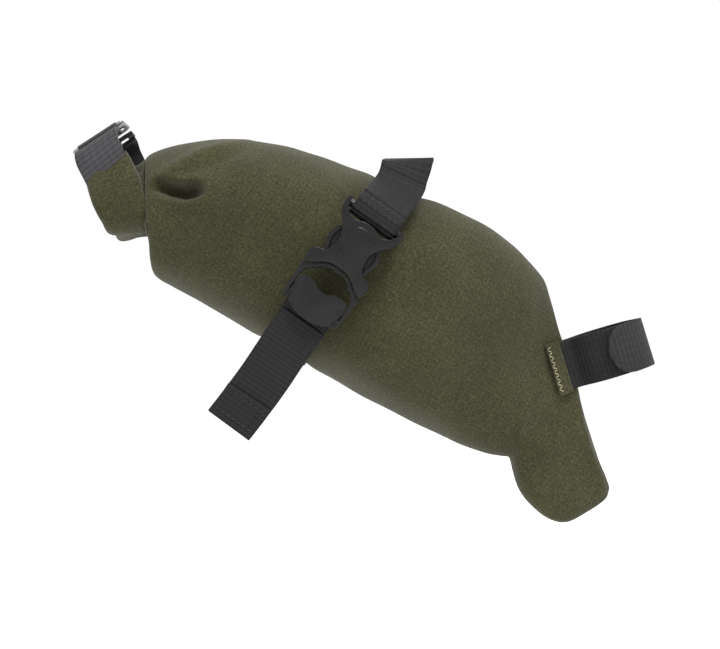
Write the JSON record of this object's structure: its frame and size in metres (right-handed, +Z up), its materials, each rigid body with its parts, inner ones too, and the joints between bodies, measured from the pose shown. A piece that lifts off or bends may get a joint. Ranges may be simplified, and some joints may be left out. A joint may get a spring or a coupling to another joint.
{
  "type": "saddle bag",
  "caption": "Small roll-top bag that hangs behind a seatpost, with a buckled strap over the saddle rails, a hook-and-loop seatpost strap and a hooked roll closure.",
  "frame": {"origin": "centre of the seatpost strap loop, on the seatpost axis", "axes": "+X to the front of the bicycle, +Y to its left, +Z up, with the bag in the attitude it has on the bicycle; the seatpost leans back 17 degrees"},
  "size_m": [0.2439, 0.0888, 0.1658],
  "materials": {
    "canvas_olive": "coated woven fabric, olive green",
    "webbing_black": "woven nylon webbing, black",
    "webbing_grey": "woven nylon webbing, dark grey",
    "pile_black": "hook-and-loop pile",
    "buckle_plastic": "moulded acetal, black, satin",
    "sheet_plastic": "plastic sheet",
    "hook_aluminium": "anodised",
    "thread_black": "sewing thread, black",
    "thread_beige": "sewing thread, beige"
  },
  "bodies": {
    "bag": {"bag_shell": "canvas_olive", "base_stiffener": "sheet_plastic", "under_strap": "webbing_black", "rail_strap": "webbing_black", "buckle_socket": "buckle_plastic", "post_strap_near": "webbing_black", "loop_pad": "pile_black", "post_strap_far": "webbing_black", "anchor_patch_near": "canvas_olive", "bartack_near": "thread_beige", "anchor_patch_far": "canvas_olive", "bartack_far": "thread_beige"},
    "plug": {"buckle_plug": "buckle_plastic", "plug_webbing": "webbing_black"},
    "rear_prong": {"prong_rear": "buckle_plastic"},
    "front_prong": {"prong_front": "buckle_plastic"},
    "tail": {"tail_webbing": "webbing_black", "tail_hem": "webbing_black", "hem_stitches": "thread_black"},
    "tab": {"strap_tab": "webbing_black", "hook_pad": "pile_black"},
    "closure": {"rolled_neck": "canvas_olive", "roll_batten": "sheet_plastic", "mouth_flap": "canvas_olive", "near_tab": "webbing_grey", "far_tab": "webbing_black"},
    "hook": {"hook": "hook_aluminium"}
  },
  "joints": [
    {"name": "buckle_slide", "type": "slide", "parent": "bag", "child": "plug", "axis": [-0.5776, 0, -0.8163], "range_m": [0, 0.026]},
    {"name": "rear_prong_squeeze", "type": "hinge", "parent": "plug", "child": "rear_prong", "pos_m": [-0.11962, -0.04525, 0.03486], "axis": [0, 1, 0], "range_deg": [0, 8], "stiffness_Nm_per_rad": 0.05},
    {"name": "front_prong_squeeze", "type": "hinge", "parent": "plug", "child": "front_prong", "pos_m": [-0.10607, -0.04525, 0.02528], "axis": [0, -1, 0], "range_deg": [0, 8], "stiffness_Nm_per_rad": 0.05},
    {"name": "tail_swing", "type": "hinge", "parent": "plug", "child": "tail", "pos_m": [-0.12486, -0.04335, 0.01309], "axis": [-0.8163, 0, 0.5776], "range_deg": [0, 90]},
    {"name": "tab_peel", "type": "hinge", "parent": "bag", "child": "tab", "pos_m": [0.01555, -0.00724, 0.00475], "axis": [-0.2924, 0, 0.9563], "range_deg": [0, 120]},
    {"name": "closure_swing", "type": "hinge", "parent": "bag", "child": "closure", "pos_m": [-0.1859, 0, 0.03197], "axis": [0, -1, 0], "range_deg": [0, 100]},
    {"name": "hook_lift", "type": "hinge", "parent": "closure", "child": "hook", "pos_m": [-0.21206, -0.0115, 0.08795], "axis": [0.9455, 0, 0.3256], "range_deg": [0, 90]}
  ]
}
